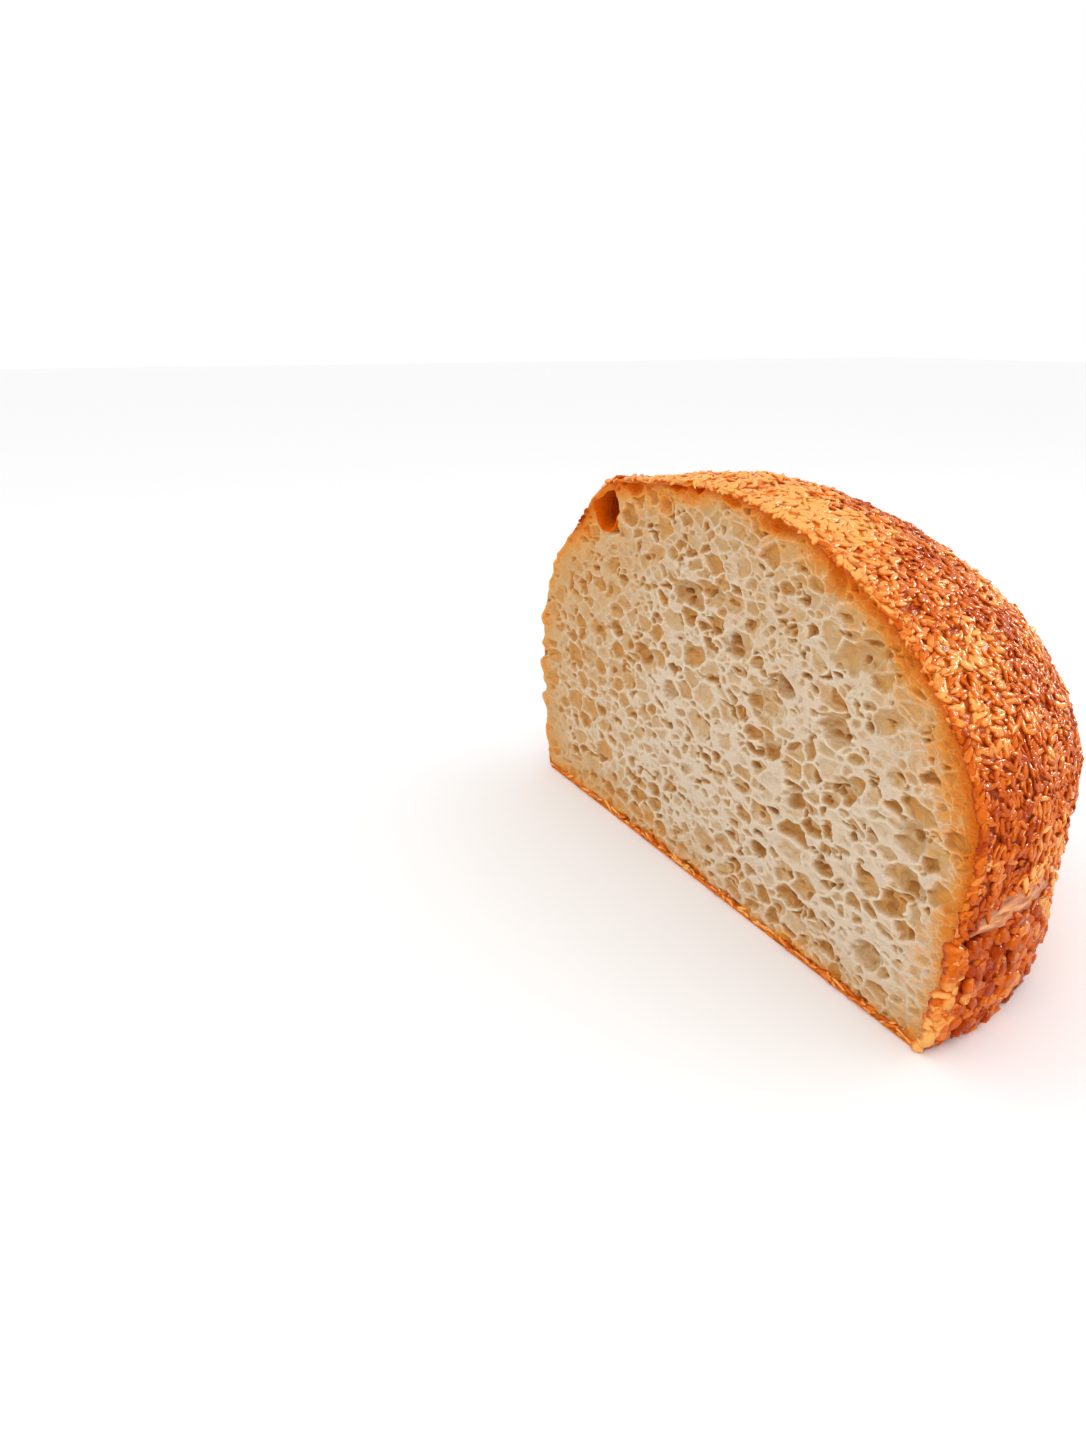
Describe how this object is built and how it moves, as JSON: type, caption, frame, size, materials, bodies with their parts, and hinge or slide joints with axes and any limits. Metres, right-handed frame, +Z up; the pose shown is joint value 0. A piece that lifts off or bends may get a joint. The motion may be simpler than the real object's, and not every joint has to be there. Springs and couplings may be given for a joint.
{
  "type": "halved seeded loaf",
  "caption": "Half of a domed round loaf cut straight down, with an open cream crumb, a seed-covered golden brown crust folded over a darker skirt, and a flat bottom to stand on.",
  "frame": {"origin": "on the surface the half stands on, under the middle of its box", "axes": "+X along the cut, +Y from the cut face to the back of the dome, +Z up"},
  "size_m": [0.2222, 0.1036, 0.135],
  "materials": {
    "crust": "baked golden brown crust with a slight gloss",
    "crumb": "soft open cream crumb, slightly moist",
    "seeds": "toasted seeds with a slight gloss"
  },
  "bodies": {
    "root": {"half_loaf": "crust"}
  },
  "joints": []
}
